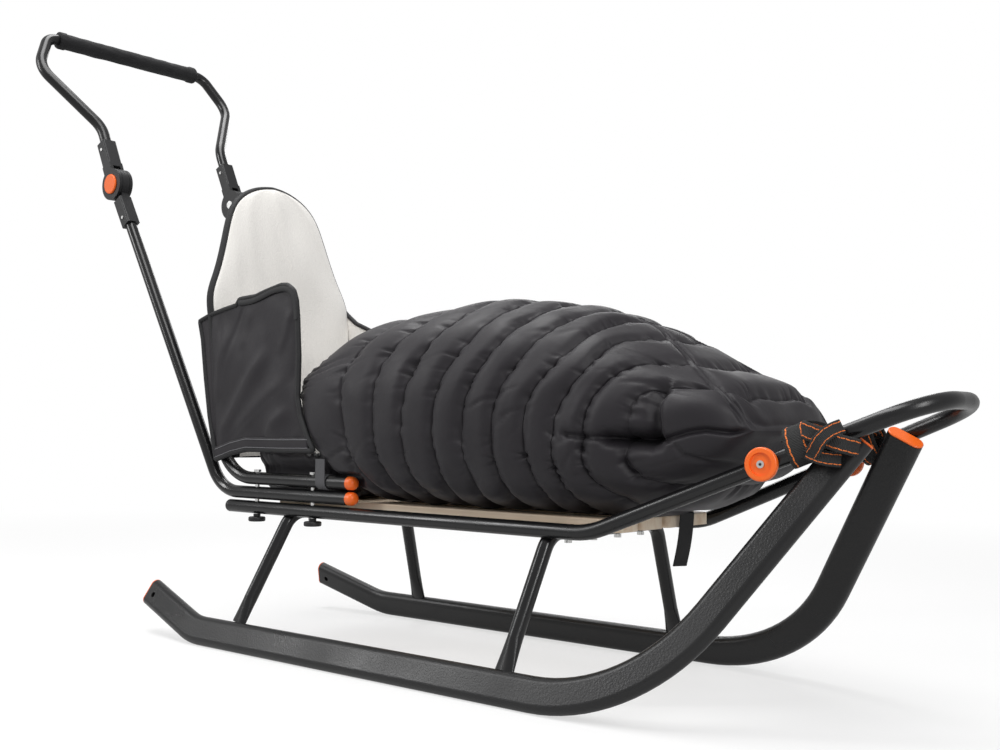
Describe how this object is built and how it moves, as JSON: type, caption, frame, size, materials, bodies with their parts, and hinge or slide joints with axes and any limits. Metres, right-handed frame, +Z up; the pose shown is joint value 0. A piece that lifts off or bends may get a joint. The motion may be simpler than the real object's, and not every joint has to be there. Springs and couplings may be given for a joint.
{
  "type": "child sled",
  "caption": "Tube-frame child sled with slatted seat, hooded backrest, quilted footmuff, front hoop and a tilting rear push handle.",
  "frame": {"origin": "middle of the footprint, on the snow under the runners", "axes": "+X the way the sled travels, +Y its left side, +Z up"},
  "size_m": [1.518, 0.391, 0.981],
  "materials": {
    "black_paint": "satin black powder coat with a fine grain",
    "orange_plastic": "smooth bright orange moulded plastic",
    "black_plastic": "matt black moulded plastic",
    "zinc_steel": "bright zinc plated",
    "beech": "pale planed beech, clear lacquer",
    "foam_grip": "fine closed-cell foam, matt black",
    "black_nylon": "smooth black nylon with a soft sheen",
    "cream_fleece": "short cream fleece",
    "black_webbing": "woven webbing with orange edge stitching",
    "grey_webbing": "woven grey webbing"
  },
  "bodies": {
    "sled": {"runner_right": "black_paint", "runner_left": "black_paint", "runner_rear_plugs": "orange_plastic", "runner_front_plugs": "orange_plastic", "rear_bow": "black_paint", "front_bow": "black_paint", "seat_rail_hoop": "black_paint", "rail_end_caps": "black_plastic", "seat_slats": "beech", "slat_screws": "zinc_steel", "slat_nuts": "zinc_steel", "pusher_tube_right": "black_paint", "pusher_tube_left": "black_paint", "pusher_end_domes": "orange_plastic", "backrest_frame": "black_paint", "backrest_end_domes": "orange_plastic", "clamp_bolts": "zinc_steel", "clamp_knobs": "black_plastic", "lower_bracket_right": "black_plastic", "lower_bracket_left": "black_plastic", "lower_bracket_rivets": "zinc_steel", "pivot_pins": "zinc_steel", "anchor_discs": "orange_plastic", "anchor_screws": "zinc_steel", "tow_strap": "black_webbing", "tow_strap_knot": "black_webbing", "hanging_strap": "black_webbing", "liner_back_panel": "cream_fleece", "liner_wing_right": "black_nylon", "liner_wing_left": "cream_fleece", "liner_seat_pad": "black_nylon", "liner_loops": "grey_webbing", "footmuff": "black_nylon"},
    "handle": {"upper_bracket_right": "black_plastic", "upper_bracket_left": "black_plastic", "upper_bracket_rivets": "zinc_steel", "hub_buttons": "orange_plastic", "handle_tube": "black_paint", "handle_grip": "foam_grip"}
  },
  "joints": [
    {"name": "handle_tilt", "type": "hinge", "parent": "sled", "child": "handle", "pos_m": [-0.58, 0, 0.697], "axis": [0, 1, 0], "range_deg": [-90, 100]}
  ]
}
